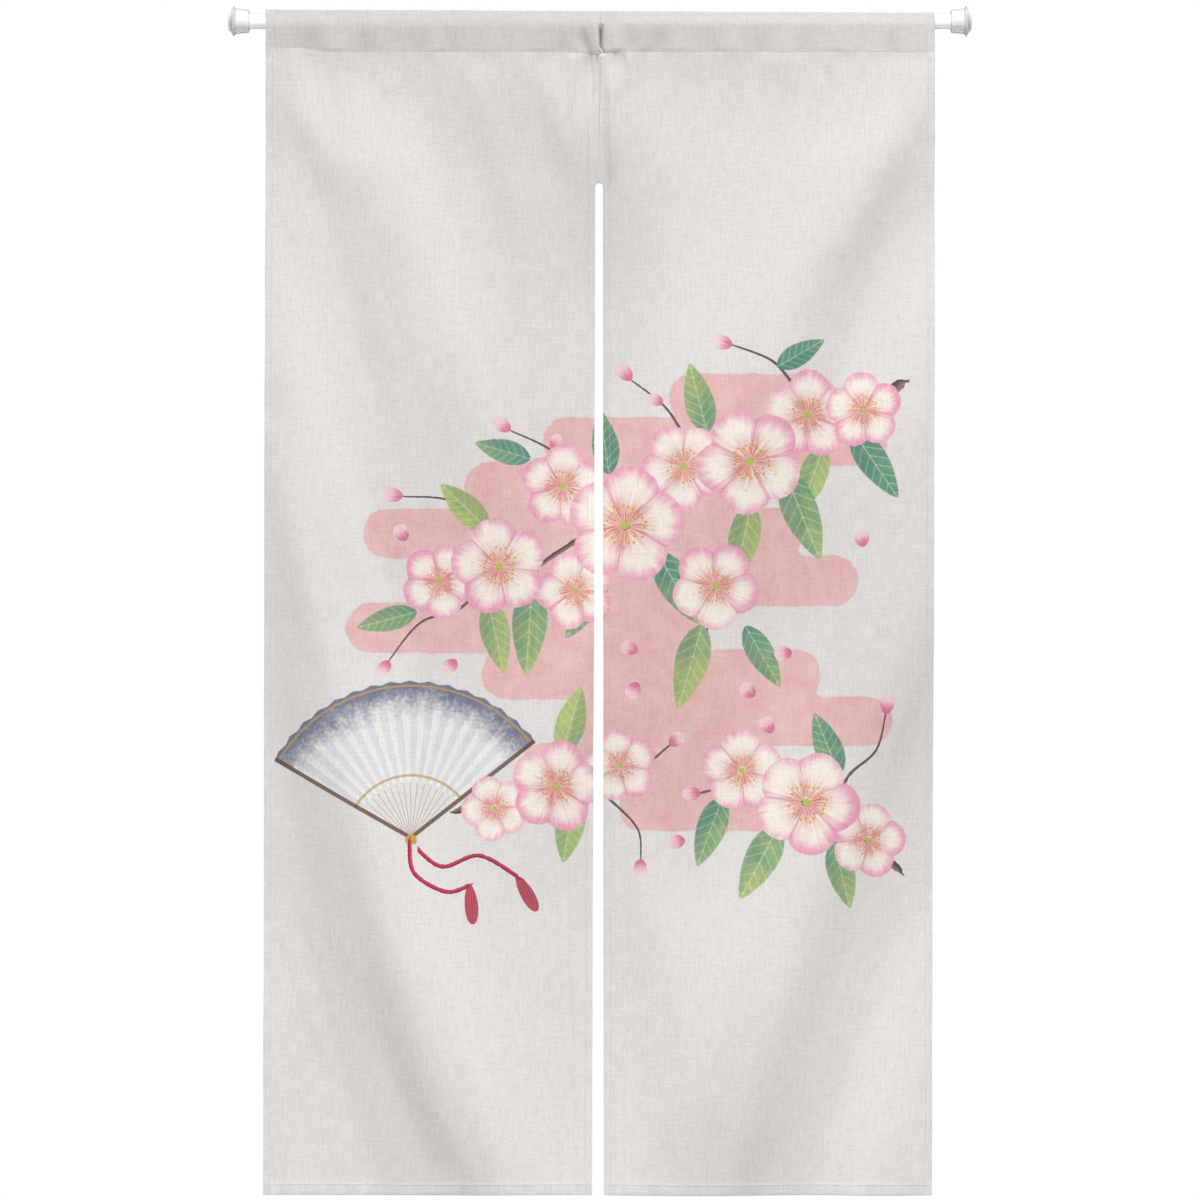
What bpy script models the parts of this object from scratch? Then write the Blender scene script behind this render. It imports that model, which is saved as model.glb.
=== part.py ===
"""Noren curtain on its tension rod, in metres, +Z up.

Two panels of cloth are sewn edge to edge above a centre slit. Each is turned over the rod to
the back and stitched down as a pocket, and hangs in soft slanting folds from there.
The origin is the middle of the left wall pad's flat face, on the rod's axis. +X runs along the
rod to the right, and the front of the cloth faces -Y.
"""

import math
from collections import namedtuple

import bmesh
import bpy

# The rod and its ends, wedged between two walls
SPAN = 0.944
ROD_RADIUS = 0.0095
ROD_START = 0.0128
FIT_GAP = 0.0003
ROUND_STEPS = 32
SHARP_EDGE = math.radians(40)

# The finished cloth, as it hangs
CLOTH_LEFT = 0.0476
CLOTH_RIGHT = 0.8974
HEM_Z = -1.4915
LEAN = -0.0040
CLOTH_THICK = 0.0010
HEM_THICK = 0.0018
SIDE_HEM = 0.0100
BOTTOM_HEM = 0.0150
HEM_STEP = 0.0015

# The pocket that holds the rod: its crest, which stands before the rod, and its row of stitches
CREST_LEFT = 0.0143
CREST_RIGHT = 0.0105
STITCH_Z = -0.0385
STITCH_FORWARD = 0.0044
STITCH_RECESS = 0.0030
RECESS_WIDTH = 0.0060
CREST_FORWARD = 0.0094
STITCH_SAG = 0.0034
SAG_WIDTH = 0.0150
SAG_FADE = 0.0600
POCKET_RADIUS = ROD_RADIUS + 0.0004 + CLOTH_THICK / 2

# The seam that joins the panels, and the slit below it
SEAM_TOP_X = 0.4731
SLIT_TOP_X = 0.4709
SLIT_LOW_X = 0.4696
SLIT_TOP_Z = -0.2055
SLIT_HALF_TOP = 0.0050
SLIT_HALF_LOW = 0.0061

# Steps of the sheets' meshes
MIDDLE_COLUMNS = 14
SEAM_COLUMNS = (0.0450, 0.0340, 0.0260, 0.0190, 0.0055, 0.0022)
LOWER_ROWS = 25
UPPER_ROWS = 4
SLIT_ROWS = 3
POCKET_STRAIGHTS = 4
FRONT_ARCS = 1
BACK_ARCS = 6
POCKET_STEPS = 2 * POCKET_STRAIGHTS + FRONT_ARCS + BACK_ARCS + 2

Turn = namedtuple("Turn", "from_wall radius")
PAD_OUTLINE = (
    Turn(0.0000, 0.0000),
    Turn(0.0000, 0.0112),
    Turn(0.0007, 0.0121),
    Turn(0.0022, 0.0133),
    Turn(0.0038, 0.0151),
    Turn(0.0050, 0.0172),
    Turn(0.0053, 0.0172),
    Turn(0.0053, 0.0000),
)
CAP_OUTLINE = (
    Turn(0.0056, 0.0000),
    Turn(0.0056, 0.0186),
    Turn(0.0061, 0.0191),
    Turn(0.0068, 0.0190),
    Turn(0.0080, 0.0172),
    Turn(0.0094, 0.0162),
    Turn(0.0112, 0.0158),
    Turn(0.0180, 0.0153),
    Turn(0.0246, 0.0145),
    Turn(0.0259, 0.0141),
    Turn(0.0264, 0.0131),
    Turn(0.0264, ROD_RADIUS + FIT_GAP),
    Turn(ROD_START - FIT_GAP, ROD_RADIUS + FIT_GAP),
    Turn(ROD_START - FIT_GAP, 0.0000),
)

# Soft folds below the pocket. A crest runs from its top to its low point, bowed sideways. It
# slopes away to the left and the right over its two widths, and fades out past its ends.
Fold = namedtuple("Fold", "top_x top_z low_x low_z bow left_width right_width rise fade")
FOLDS = (
    Fold(0.150, -0.068, 0.327, -0.592, 0.007, 0.043, 0.039, 0.0120, 0.44),
    Fold(0.350, -0.129, 0.447, -0.573, 0.050, 0.090, 0.088, -0.0060, 0.64),
    Fold(0.087, -0.400, 0.311, -1.438, -0.050, 0.042, 0.052, 0.0240, 0.52),
    Fold(0.100, -0.523, 0.252, -1.529, -0.050, 0.030, 0.090, 0.0090, 0.44),
    Fold(0.797, -0.183, 0.602, -1.076, -0.050, 0.072, 0.055, 0.0240, 0.54),
    Fold(0.950, -0.289, 0.802, -0.746, -0.041, 0.062, 0.090, 0.0240, 0.55),
    Fold(0.937, -0.531, 0.524, -1.760, -0.007, 0.090, 0.057, 0.0240, 0.80),
    Fold(0.856, -1.300, 0.814, -1.698, -0.017, 0.030, 0.049, 0.0185, 0.44),
    Fold(0.570, -1.194, 0.581, -1.356, 0.004, 0.041, 0.090, 0.0238, 0.47),
    Fold(0.190, -0.332, 0.249, -0.833, 0.016, 0.030, 0.049, 0.0130, 0.49),
    Fold(0.569, -0.333, 0.486, -0.790, 0.015, 0.032, 0.084, 0.0227, 0.70),
)
FOLD_START = 0.16
HANG_BACK = 0.0110
HANG_START = 0.75

# Creases of the pocket below the rod. Each has a flat floor that wide to both sides and leans
# sideways on its way down. A share above 0 draws the front layer in, and the back layer by
# BACK_SHARE of that.
Crease = namedtuple("Crease", "x lean floor width share")
CREASES = (
    Crease(0.0980, 0.003, 0.0000, 0.0120, 0.20),
    Crease(0.1900, -0.004, 0.0000, 0.0160, 0.14),
    Crease(0.2400, 0.000, 0.0000, 0.0100, -0.12),
    Crease(0.3450, 0.005, 0.0000, 0.0140, 0.18),
    Crease(0.4180, 0.004, 0.0000, 0.0120, -0.12),
    Crease(0.4500, 0.009, 0.0000, 0.0044, 0.66),
    Crease(0.4731, 0.000, 0.0024, 0.0010, 1.22),
    Crease(0.4870, 0.003, 0.0000, 0.0055, -0.20),
    Crease(0.5030, -0.002, 0.0000, 0.0050, 0.30),
    Crease(0.5490, 0.002, 0.0000, 0.0090, 0.22),
    Crease(0.6500, -0.003, 0.0000, 0.0140, -0.12),
    Crease(0.7150, 0.004, 0.0000, 0.0160, 0.18),
    Crease(0.8300, -0.004, 0.0000, 0.0140, 0.16),
)
BACK_SHARE = 0.20
CREASE_START = 0.25
CREASE_RISE = 0.55
CREASE_END = 0.08

Panel = namedtuple("Panel", "name side")
PANELS = (Panel("panel_left", -1), Panel("panel_right", 1))

Finish = namedtuple("Finish", "name color roughness metallic")
CLOTH = Finish("cloth", (0.745, 0.716, 0.694), 0.92, 0.0)
ENAMEL = Finish("white_enamel", (0.84, 0.84, 0.85), 0.28, 0.0)
PLASTIC = Finish("white_plastic", (0.83, 0.83, 0.83), 0.22, 0.0)
RUBBER = Finish("white_rubber", (0.88, 0.88, 0.87), 0.65, 0.0)


def smooth_step(value):
    """0 below 0 and 1 above 1, with a soft rise between."""
    t = min(1.0, max(0.0, value))
    return t * t * (3 - 2 * t)


def bell(distance, width):
    return math.exp(-0.5 * (distance / width) ** 2)


def material(finish):
    made = bpy.data.materials.new(finish.name)
    made.use_nodes = True
    shader = made.node_tree.nodes["Principled BSDF"]
    shader.inputs["Base Color"].default_value = (*finish.color, 1.0)
    shader.inputs["Roughness"].default_value = finish.roughness
    shader.inputs["Metallic"].default_value = finish.metallic
    return made


def add_object(name, bm, finish):
    """Makes a bmesh into a smooth shaded object of that name."""
    mesh = bpy.data.meshes.new(name)
    bm.to_mesh(mesh)
    bm.free()
    mesh.shade_smooth()
    mesh.set_sharp_from_angle(angle=SHARP_EDGE)
    mesh.materials.append(material(finish))
    made = bpy.data.objects.new(name, mesh)
    bpy.context.scene.collection.objects.link(made)
    return made


def turned(name, outline, wall_x, inward, finish):
    """Turns an outline round the rod's axis. inward is +1 from the left wall, -1 from the right."""
    bm = bmesh.new()
    points = [bm.verts.new((wall_x + inward * row.from_wall, 0, row.radius)) for row in outline]
    lines = [bm.edges.new(pair) for pair in zip(points, points[1:])]
    bmesh.ops.spin(
        bm,
        geom=points + lines,
        cent=(0, 0, 0),
        axis=(1, 0, 0),
        angle=math.tau,
        steps=ROUND_STEPS,
        use_merge=True,
    )
    bmesh.ops.remove_doubles(bm, verts=bm.verts, dist=1e-6)
    bmesh.ops.recalc_face_normals(bm, faces=bm.faces)
    return add_object(name, bm, finish)


def rod():
    """A plain round bar, from inside one cap to inside the other."""
    outline = (
        Turn(ROD_START, 0.0),
        Turn(ROD_START, ROD_RADIUS),
        Turn(SPAN - ROD_START, ROD_RADIUS),
        Turn(SPAN - ROD_START, 0.0),
    )
    return turned("rod", outline, 0.0, 1, ENAMEL)


def hang_share(z):
    """0 at the rod's axis and 1 at the bottom hem."""
    return z / HEM_Z


def outer_edge(side, z):
    start = CLOTH_LEFT if side < 0 else CLOTH_RIGHT
    return start + LEAN * hang_share(z)


def inner_edge(side, z):
    """The edge by the seam, which turns round the slit's rounded top and runs down beside it."""
    if z >= SLIT_TOP_Z:
        middle = SEAM_TOP_X + (SLIT_TOP_X - SEAM_TOP_X) * smooth_step(z / SLIT_TOP_Z)
        return middle + side * FIT_GAP / 2
    down = (z - SLIT_TOP_Z) / (HEM_Z - SLIT_TOP_Z)
    middle = SLIT_TOP_X + (SLIT_LOW_X - SLIT_TOP_X) * down
    half = SLIT_HALF_TOP + (SLIT_HALF_LOW - SLIT_HALF_TOP) * down
    rounding = min(1.0, (SLIT_TOP_Z - z) / SLIT_HALF_TOP)
    half = half * math.sqrt(1 - (1 - rounding) ** 2)
    return middle + side * max(half, FIT_GAP / 2)


def fold_rise(x, z):
    """How far the hanging cloth stands forward of the row of stitches."""
    rise = 0.0
    for fold in FOLDS:
        along = (fold.top_z - z) / (fold.top_z - fold.low_z)
        crest_x = fold.top_x + (fold.low_x - fold.top_x) * along
        crest_x += 4 * fold.bow * along * (1 - along)
        width = fold.left_width if x < crest_x else fold.right_width
        begins = smooth_step((fold.top_z - z) / fold.fade + 0.5)
        ends = smooth_step((z - fold.low_z) / fold.fade + 0.5)
        rise += fold.rise * begins * ends * bell(x - crest_x, width)
    below = STITCH_Z - z
    return rise * smooth_step(below / FOLD_START) - HANG_BACK * smooth_step(below / HANG_START)


def stitch_sag(x):
    """The stitched line dips a little by the seam."""
    return -STITCH_SAG * bell(x - SEAM_TOP_X + SAG_WIDTH / 2, SAG_WIDTH)


def stitch_forward(x):
    """How far the stitched line lies before the rod's axis. It is drawn back by the seam."""
    return STITCH_FORWARD - STITCH_RECESS * bell(x - SEAM_TOP_X, RECESS_WIDTH)


def drawn_in(x, share):
    """The share by which a layer of the pocket is drawn in to the other one, down its straight."""
    drawn = 0.0
    for crease in CREASES:
        aside = abs(x - crease.x - crease.lean * share) - crease.floor
        drawn += crease.share * bell(max(0.0, aside), crease.width)
    drawn *= smooth_step((share - CREASE_START) / CREASE_RISE)
    return drawn * smooth_step((1 - share) / CREASE_END)


def pocket_layer(x, crest_out, stitch_out, arcs):
    """(out, z) down one layer, from the crest round the rod's side to the stitches."""
    across = (x - CLOTH_LEFT) / (CLOTH_RIGHT - CLOTH_LEFT)
    crest_z = CREST_LEFT + (CREST_RIGHT - CREST_LEFT) * across
    stitch_z = STITCH_Z + stitch_sag(x)
    # Angles from the top of the rod, between which the layer lies round the rod
    upper = math.atan2(crest_out, crest_z)
    upper += math.acos(POCKET_RADIUS / math.hypot(crest_out, crest_z))
    lower = math.pi - math.atan2(stitch_out, -stitch_z)
    lower -= math.acos(POCKET_RADIUS / math.hypot(stitch_out, stitch_z))
    path = [(crest_out, crest_z)]
    for step in range(arcs + 1):
        angle = upper + (lower - upper) * step / arcs
        path.append((POCKET_RADIUS * math.sin(angle), POCKET_RADIUS * math.cos(angle)))
    low_out, low_z = path[-1]
    for step in range(1, POCKET_STRAIGHTS + 1):
        share = step / POCKET_STRAIGHTS
        drawn = drawn_in(x, share) * (1.0 if crest_out > 0 else BACK_SHARE)
        out = low_out * (1 - share) * (1 - drawn) + stitch_out * share
        path.append((out, low_z + (stitch_z - low_z) * share))
    return path


def pocket_ring(x):
    """(y, z) round the pocket, from the stitches up the front, over the crest and down."""
    front = pocket_layer(x, CREST_FORWARD, stitch_forward(x), FRONT_ARCS)
    back = pocket_layer(x, -CREST_FORWARD, -stitch_forward(x), BACK_ARCS)
    return [(-out, z) for out, z in reversed(front)] + back[1:]


def hanging_levels():
    """Heights of the rows of the hanging cloth, from the bottom hem up to below the stitches."""
    levels = [HEM_Z, HEM_Z + BOTTOM_HEM, HEM_Z + BOTTOM_HEM + HEM_STEP]
    slit_low = SLIT_TOP_Z - SLIT_HALF_TOP
    first = levels[-1]
    for row in range(1, LOWER_ROWS + 1):
        levels.append(first + (slit_low - first) * row / LOWER_ROWS)
    for row in range(1, SLIT_ROWS + 1):
        turn = math.pi / 2 * row / SLIT_ROWS
        levels.append(SLIT_TOP_Z - SLIT_HALF_TOP * (1 - math.sin(turn)))
    for row in range(1, UPPER_ROWS):
        levels.append(SLIT_TOP_Z + (STITCH_Z - SLIT_TOP_Z) * row / UPPER_ROWS)
    return levels


def column_places():
    """(share of the panel's width, metres on from there) of each column, outer edge first."""
    places = [(0.0, 0.0), (0.0, SIDE_HEM), (0.0, SIDE_HEM + HEM_STEP)]
    for column in range(1, MIDDLE_COLUMNS):
        share = column / MIDDLE_COLUMNS
        start = (SIDE_HEM + HEM_STEP) * (1 - share)
        places.append((share, start - SEAM_COLUMNS[0] * share))
    places += [(1.0, -offset) for offset in SEAM_COLUMNS[:4]]
    places += [(1.0, -SIDE_HEM - HEM_STEP), (1.0, -SIDE_HEM)]
    places += [(1.0, -offset) for offset in SEAM_COLUMNS[4:]]
    places.append((1.0, 0.0))
    return places


def panel(name, side):
    """One panel: a flat cut, folded into place, joined to itself at the stitches and thickened."""
    places = column_places()
    levels = hanging_levels()
    rows = len(levels) + POCKET_STEPS
    bm = bmesh.new()
    bmesh.ops.create_grid(bm, x_segments=len(places) - 1, y_segments=rows, size=0.5)
    hem_layer = bm.verts.layers.deform.verify()
    for vert in bm.verts:
        column = round((vert.co.x + 0.5) * (len(places) - 1))
        row = round((vert.co.y + 0.5) * rows)
        share, offset = places[column]
        level = levels[row] if row < len(levels) else STITCH_Z
        outer_x = outer_edge(side, level)
        x = outer_x + (inner_edge(side, level) - outer_x) * share - side * offset
        if row < len(levels):
            sag = stitch_sag(x) * smooth_step(1 - (STITCH_Z - level) / SAG_FADE)
            vert.co = (x, -STITCH_FORWARD - fold_rise(x, level), level + sag)
        else:
            vert.co = (x, *pocket_ring(x)[row - len(levels)])
        hemmed = column < 2 or column > len(places) - 5 or row < 2
        vert[hem_layer][0] = 1.0 if hemmed and row < len(levels) else 0.0
    bmesh.ops.remove_doubles(bm, verts=bm.verts, dist=1e-6)
    bmesh.ops.recalc_face_normals(bm, faces=bm.faces)
    made = add_object(name, bm, CLOTH)
    made.vertex_groups.new(name="hem")
    sheet = made.modifiers.new("cloth thickness", "SOLIDIFY")
    sheet.solidify_mode = "NON_MANIFOLD"
    sheet.nonmanifold_thickness_mode = "CONSTRAINTS"
    sheet.thickness = HEM_THICK
    sheet.offset = 0.0
    sheet.vertex_group = "hem"
    sheet.thickness_vertex_group = CLOTH_THICK / HEM_THICK
    return made


for old in list(bpy.data.objects):
    bpy.data.objects.remove(old)

rod()
turned("cap_left", CAP_OUTLINE, 0.0, 1, PLASTIC)
turned("cap_right", CAP_OUTLINE, SPAN, -1, PLASTIC)
turned("pad_left", PAD_OUTLINE, 0.0, 1, RUBBER)
turned("pad_right", PAD_OUTLINE, SPAN, -1, RUBBER)
for row in PANELS:
    panel(row.name, row.side)
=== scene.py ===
"""The looks of the noren curtain on its tension rod, in metres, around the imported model.

The front of the cloth faces -Y and +Z is up. The sections follow the curtain as it is put
together: rod, end caps, wall pads, print, cloth, stitches, and then the studio.
"""

import math
from collections import namedtuple

import bmesh
import bpy
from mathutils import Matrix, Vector, noise


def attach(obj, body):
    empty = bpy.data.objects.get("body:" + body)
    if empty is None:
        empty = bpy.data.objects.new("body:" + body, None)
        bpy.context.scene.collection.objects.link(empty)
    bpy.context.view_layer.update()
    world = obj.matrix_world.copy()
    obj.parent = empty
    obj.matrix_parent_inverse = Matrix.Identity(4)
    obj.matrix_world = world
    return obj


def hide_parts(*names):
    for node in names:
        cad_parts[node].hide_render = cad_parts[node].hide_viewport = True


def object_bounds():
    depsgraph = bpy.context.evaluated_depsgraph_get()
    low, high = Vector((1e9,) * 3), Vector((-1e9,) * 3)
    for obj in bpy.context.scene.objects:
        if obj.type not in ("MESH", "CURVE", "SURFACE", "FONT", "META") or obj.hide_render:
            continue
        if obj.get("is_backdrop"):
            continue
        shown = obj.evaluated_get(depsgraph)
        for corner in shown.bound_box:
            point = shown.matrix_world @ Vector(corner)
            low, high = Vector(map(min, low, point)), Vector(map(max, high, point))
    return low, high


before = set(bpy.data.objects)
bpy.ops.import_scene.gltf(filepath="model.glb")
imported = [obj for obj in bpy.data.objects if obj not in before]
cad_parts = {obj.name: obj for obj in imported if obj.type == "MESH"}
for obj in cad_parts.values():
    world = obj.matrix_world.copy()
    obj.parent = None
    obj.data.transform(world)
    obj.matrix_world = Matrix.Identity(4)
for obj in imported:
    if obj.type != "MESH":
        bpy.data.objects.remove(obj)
cad_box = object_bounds()

# ---------------------------------------------------------------------------------- Tension rod
# A steel tube 19 mm across, enamelled glossy white. It runs through both pockets of the cloth,
# is wedged between two walls, and has its ends inside the caps.
SPAN = 0.944
ROD_RADIUS = 0.0095
ROD_START = 0.0128
ROD_EDGE = 0.0006
ROUND_STEPS = 72
SHARP_EDGE = math.radians(38)

Turn = namedtuple("Turn", "from_wall radius")


class Shade:
    """A socket of a material. Sums of shades add Math nodes, and node() adds any other node."""

    def __init__(self, tree, socket=None):
        self.tree = tree
        self.socket = socket

    def node(self, kind, settings, values, output=0):
        """Adds a node, sets its settings and then its sockets, and gives one of its outputs."""
        made = self.tree.nodes.new(kind)
        for name, setting in settings.items():
            setattr(made, name, setting)
        for name, value in values.items():
            if isinstance(value, Shade):
                self.tree.links.new(value.socket, made.inputs[name])
            else:
                made.inputs[name].default_value = value
        return Shade(self.tree, made.outputs[output])

    def math(self, operation, *values):
        """A Math node on this number and the others."""
        numbers = dict(enumerate((self, *values)))
        return self.node("ShaderNodeMath", {"operation": operation}, numbers)

    def __add__(self, other):
        return self.math("ADD", other)

    def __sub__(self, other):
        return self.math("SUBTRACT", other)

    def __mul__(self, other):
        return self.math("MULTIPLY", other)

    def __truediv__(self, other):
        return self.math("DIVIDE", other)

    __radd__ = __add__
    __rmul__ = __mul__

    def __rsub__(self, other):
        return self.math("MULTIPLY_ADD", -1.0, other)

    def __abs__(self):
        return self.math("ABSOLUTE")

    def hypot(self, other):
        """How far a place is from the middle, by its two numbers."""
        return (self * self + other * other).math("SQRT")

    def wave(self, length, shift=0.0):
        """A wave from -1 to 1 that repeats over that length."""
        return (self * (math.tau / length) + shift).math("SINE")

    def soft(self, low, high, start=0.0, end=1.0):
        """start at low, end at high, with a soft rise between."""
        ends = {"From Min": low, "From Max": high, "To Min": start, "To Max": end}
        settings = {"interpolation_type": "SMOOTHSTEP"}
        return self.node("ShaderNodeMapRange", settings, {"Value": self, **ends})

    def line(self, half, edge):
        """1 within half of the place where this is 0, with an edge that soft."""
        return abs(self).soft(half + edge, half - edge)

    def place(self):
        """The place on the piece, in metres."""
        return self.node("ShaderNodeTexCoord", {}, {}, "Object")

    def mark(self, name, output="Vector"):
        """What the mesh has written on it under that name."""
        return self.node("ShaderNodeAttribute", {"attribute_name": name}, {}, output)

    def parts(self):
        """The three numbers of a vector."""
        made = self.node("ShaderNodeSeparateXYZ", {}, {0: self})
        return [Shade(self.tree, out) for out in made.socket.node.outputs]

    def scaled(self, across, along, deep=1.0):
        """A place on the piece, stretched for a pattern."""
        values = {0: self, 1: (across, along, deep)}
        return self.node("ShaderNodeVectorMath", {"operation": "MULTIPLY"}, values)

    def grain(self, size=1.0, detail=2.0, rough=0.5):
        """Noise whose patches are about that far apart."""
        values = {"Vector": self, "Scale": 1 / size, "Detail": detail, "Roughness": rough}
        return self.node("ShaderNodeTexNoise", {}, values)

    def chance(self):
        """A number from 0 to 1 drawn from this one."""
        return self.node("ShaderNodeTexWhiteNoise", {"noise_dimensions": "1D"}, {"W": self})

    def blend(self, low, high):
        """One colour where this is 0 and another where it is 1."""
        return self.node("ShaderNodeMix", {"data_type": "RGBA"}, {0: self, 6: low, 7: high}, 2)

    def dims(self, colour):
        """The colour multiplied by this grey."""
        settings = {"data_type": "RGBA", "blend_type": "MULTIPLY"}
        return self.node("ShaderNodeMix", settings, {0: 1.0, 6: colour, 7: self}, 2)

    def over(self, colour, code):
        """Lays a screen colour over another colour where this is 1."""
        return self.blend(colour, tint(code))

    def paints(self, wash, low, high, under):
        """Lays two colours, mixed by the wash, over what is under them where this is 1."""
        return self.blend(under, wash.blend(low, high))

    def feeds(self, shader, socket):
        self.tree.links.new(self.socket, shader.inputs[socket])

    def mottles(self, shader, low, high, dark, code):
        """Gives the shader a screen colour, darkened to that share where this is low."""
        self.soft(low, high, dark, 1.0).dims(tint(code)).feeds(shader, "Base Color")

    def raises(self, shader, depth, strength=1.0):
        """Lets this height, from 0 to 1, raise the surface by that depth in metres."""
        values = {"Height": self, "Distance": depth, "Strength": strength}
        self.node("ShaderNodeBump", {}, values).feeds(shader, "Normal")


def material(name, **finish):
    """A material with plain numbers on its shader. Gives it, its shader and a Shade to start."""
    made = bpy.data.materials.new(name)
    made.use_nodes = True
    shader = made.node_tree.nodes["Principled BSDF"]
    for socket, value in finish.items():
        shader.inputs[socket.replace("_", " ")].default_value = value
    return made, shader, Shade(made.node_tree)


def tint(code):
    """A screen colour's code as a linear colour."""
    shares = [int(code[i : i + 2], 16) / 255 for i in (0, 2, 4)]
    return (*(((s + 0.055) / 1.055) ** 2.4 for s in shares), 1.0)


def add_object(name, bm, *materials):
    """Makes a bmesh into a smooth shaded object of that name."""
    mesh = bpy.data.meshes.new(name)
    bm.to_mesh(mesh)
    bm.free()
    mesh.shade_smooth()
    mesh.set_sharp_from_angle(angle=SHARP_EDGE)
    for made in materials:
        mesh.materials.append(made)
    piece = bpy.data.objects.new(name, mesh)
    bpy.context.scene.collection.objects.link(piece)
    return piece


def turned(name, outline, wall_x, inward, edge, finish):
    """Turns an outline round the rod's axis, and rounds its sharp edges off."""
    bm = bmesh.new()
    points = [bm.verts.new((wall_x + inward * row.from_wall, 0, row.radius)) for row in outline]
    lines = [bm.edges.new(pair) for pair in zip(points, points[1:])]
    round_axis = {"cent": (0, 0, 0), "axis": (1, 0, 0), "angle": math.tau, "steps": ROUND_STEPS}
    bmesh.ops.spin(bm, geom=points + lines, use_merge=True, **round_axis)
    bmesh.ops.remove_doubles(bm, verts=bm.verts, dist=1e-6)
    bmesh.ops.recalc_face_normals(bm, faces=bm.faces)
    sharp = [e for e in bm.edges if e.is_manifold and e.calc_face_angle() > SHARP_EDGE]
    rounding = {"segments": 3, "profile": 0.5, "affect": "EDGES", "clamp_overlap": True}
    bmesh.ops.bevel(bm, geom=sharp, offset=edge, material=-1, **rounding)
    return add_object(name, bm, finish)


def joins(piece, node):
    """The piece rides on the one body and stands for its CAD node."""
    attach(piece, "root")
    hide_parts(node)


enamel, shader, shade = material(
    "white_enamel", IOR=1.6, Coat_Weight=1.0, Coat_Roughness=0.08, Coat_IOR=1.8
)
place = shade.place()
handling = place.grain(0.012, 3.0)
handling.mottles(shader, 0.3, 0.7, 0.955, "fafafb")
handling.soft(0.3, 0.75, 0.18, 0.34).feeds(shader, "Roughness")
place.grain(0.0024, 1.0).raises(shader, 0.00003)

ROD_OUTLINE = (
    Turn(ROD_START, 0.0),
    Turn(ROD_START, ROD_RADIUS),
    Turn(SPAN - ROD_START, ROD_RADIUS),
    Turn(SPAN - ROD_START, 0.0),
)
rod = turned("tension_rod", ROD_OUTLINE, 0.0, 1, ROD_EDGE, enamel)
joins(rod, "rod")

# ------------------------------------------------------------------------------------- End caps
# Moulded glossy white plastic, pushed onto the rod's ends. Each flares to a flange at the wall,
# and a shallow groove marks off the lip that grips the rod.
CAP_EDGE = 0.0004
CAP_LENGTH = 0.0264
FIT_GAP = 0.0003
SOCKET_RADIUS = ROD_RADIUS + FIT_GAP
SOCKET_END = ROD_START - FIT_GAP
# Each end's name, its wall, and the way from there along the rod
ENDS = (("left", 0.0, 1), ("right", SPAN, -1))


def metres(kind, *rows):
    """Rows of millimetres as rows of that kind in metres."""
    return [kind(*(size / 1000 for size in row)) for row in rows]


CAP_OUTLINE = metres(
    Turn,
    (5.6, 0), (5.6, 18.6), (6, 19), (6.6, 19.1), (7.1, 18.7), (7.6, 18), (8.1, 17.3), (8.7, 16.7),
    (9.5, 16.2), (10.5, 15.9), (12, 15.7), (15, 15.5), (20.2, 15.1), (20.6, 14.7), (21, 14.7),
    (21.4, 15.1), (24.5, 14.7), (25.5, 14.4), (26.1, 13.8), (26.4, 13),
)
CAP_OUTLINE += [
    Turn(CAP_LENGTH, SOCKET_RADIUS),
    Turn(SOCKET_END, SOCKET_RADIUS),
    Turn(SOCKET_END, 0.0),
]

plastic, shader, shade = material(
    "white_plastic",
    IOR=1.5,
    Coat_Weight=1.0,
    Coat_Roughness=0.14,
    Coat_IOR=1.7,
    Subsurface_Weight=0.7,
    Subsurface_Radius=(1.0, 1.0, 1.0),
    Subsurface_Scale=0.030,
)
place = shade.place()
scuffs = place.scaled(1.0, 1.0, 2.5).grain(0.006, 4.0, 0.6)
scuffs.mottles(shader, 0.35, 0.75, 0.97, "fbfbfb")
scuffs.soft(0.3, 0.8, 0.16, 0.36).feeds(shader, "Roughness")
place.grain(0.0011, 2.0).raises(shader, 0.00004)

for end, wall_x, inward in ENDS:
    cap = turned("end_cap_" + end, CAP_OUTLINE, wall_x, inward, CAP_EDGE, plastic)
    joins(cap, "cap_" + end)

# ------------------------------------------------------------------------------------ Wall pads
# Soft white rubber, glued to the caps' outer faces. Each widens from its flat face at the wall
# to a thin rim behind the flange.
PAD_EDGE = 0.0003
PAD_OUTLINE = metres(
    Turn,
    (0, 0), (0, 11.2), (0.3, 11.7), (0.8, 12.2), (1.5, 12.7), (2.4, 13.5), (3.2, 14.3), (4, 15.3),
    (4.6, 16.3), (5, 17.2), (5.3, 17.2), (5.3, 0),
)

rubber, shader, shade = material(
    "white_rubber",
    IOR=1.45,
    Specular_IOR_Level=0.35,
    Subsurface_Weight=0.7,
    Subsurface_Radius=(1.0, 1.0, 1.0),
    Subsurface_Scale=0.024,
)
place = shade.place()
bloom = place.grain(0.004, 3.0)
bloom.mottles(shader, 0.3, 0.7, 0.96, "f9f9f8")
bloom.soft(0.3, 0.7, 0.50, 0.68).feeds(shader, "Roughness")
place.grain(0.0007, 2.0).raises(shader, 0.00006)

for end, wall_x, inward in ENDS:
    pad = turned("wall_pad_" + end, PAD_OUTLINE, wall_x, inward, PAD_EDGE, rubber)
    joins(pad, "pad_" + end)

# ---------------------------------------------------------------------------------------- Print
# A traditional design in soft washes, printed on the cloth before it is hemmed: bands of mist, a
# plum bough in flower, and an open folding fan with its tasselled cord. Sizes are on flat cloth.
PRINT_LEFT, PRINT_RIGHT = 0.040, 0.880
PRINT_LOW, PRINT_TOP = -1.165, -0.370
# How far from a motif a face may be whose corners still take its marks
REACH = 0.0055
STEM_REACH = 0.03

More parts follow.
